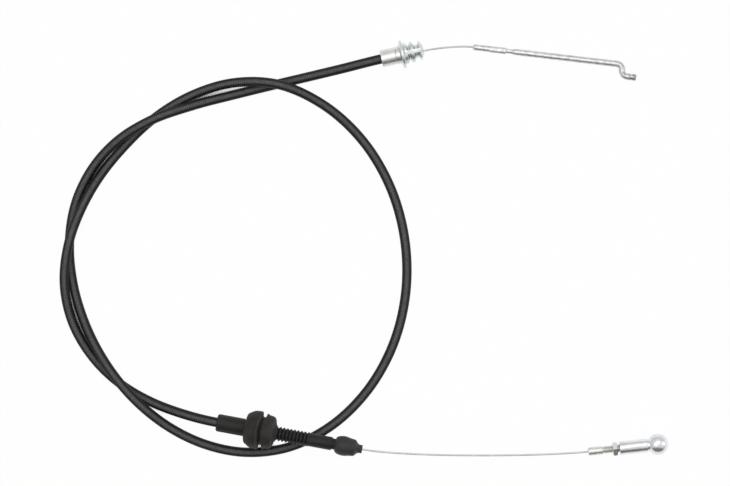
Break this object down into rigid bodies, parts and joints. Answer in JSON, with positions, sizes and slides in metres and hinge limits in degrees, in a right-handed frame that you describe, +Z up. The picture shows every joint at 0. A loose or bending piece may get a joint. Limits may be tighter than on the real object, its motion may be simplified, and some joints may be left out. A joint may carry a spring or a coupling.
{
  "type": "throttle cable",
  "caption": "Push-pull throttle cable: black conduit in two loops, grooved cast fitting with a Z-bend rod, and an adjuster sleeve with grommet and a threaded ball end.",
  "frame": {"origin": "centre of the bounding box on the floor that the cable lies on", "axes": "+X along the longest extent, towards the pull rod and the ball end; +Z up off the floor"},
  "size_m": [0.3736, 0.256, 0.0236],
  "materials": {
    "jacket": "smooth black polymer, slightly shiny",
    "winding": "spring steel",
    "liner": "natural polymer",
    "wire": "galvanised stranded wire",
    "plated_steel": "zinc plated",
    "bright_steel": "bright plated",
    "zinc": "die-cast, satin",
    "nylon": "moulded black",
    "rubber": "matt"
  },
  "bodies": {
    "cable": {"conduit_jacket": "jacket", "conduit_winding": "winding", "conduit_liner": "liner", "inner_wire": "wire", "conduit_ferrule": "plated_steel", "bracket_fitting": "zinc", "adjuster_sleeve": "nylon", "dust_cap": "rubber"},
    "grommet": {"bulkhead_grommet": "rubber"},
    "rod": {"pull_rod": "plated_steel"},
    "stud": {"threaded_stud": "plated_steel"},
    "nut": {"lock_nut": "bright_steel"},
    "ball": {"ball_end": "bright_steel"}
  },
  "joints": [
    {"name": "stud_pull", "type": "slide", "parent": "cable", "child": "stud", "axis": [0.9943, 0.1063, 0], "range_m": [-0.05, 0.02], "deforming": ["inner_wire"]},
    {"name": "rod_pull", "type": "slide", "parent": "cable", "child": "rod", "axis": [0.9932, -0.1163, 0], "range_m": [-0.02, 0.05], "deforming": ["inner_wire"]},
    {"name": "nut_run", "type": "slide", "parent": "stud", "child": "nut", "axis": [0.9943, 0.1063, 0], "range_m": [-0.004, 0]},
    {"name": "ball_run", "type": "slide", "parent": "stud", "child": "ball", "axis": [0.9943, 0.1063, 0], "range_m": [0, 0.004]},
    {"name": "grommet_shift", "type": "slide", "parent": "cable", "child": "grommet", "axis": [0.9833, -0.1822, 0], "range_m": [0, 0.0065]}
  ],
  "couplings": [
    {"joint": "rod_pull", "follows": "stud_pull", "ratio": -1}
  ]
}
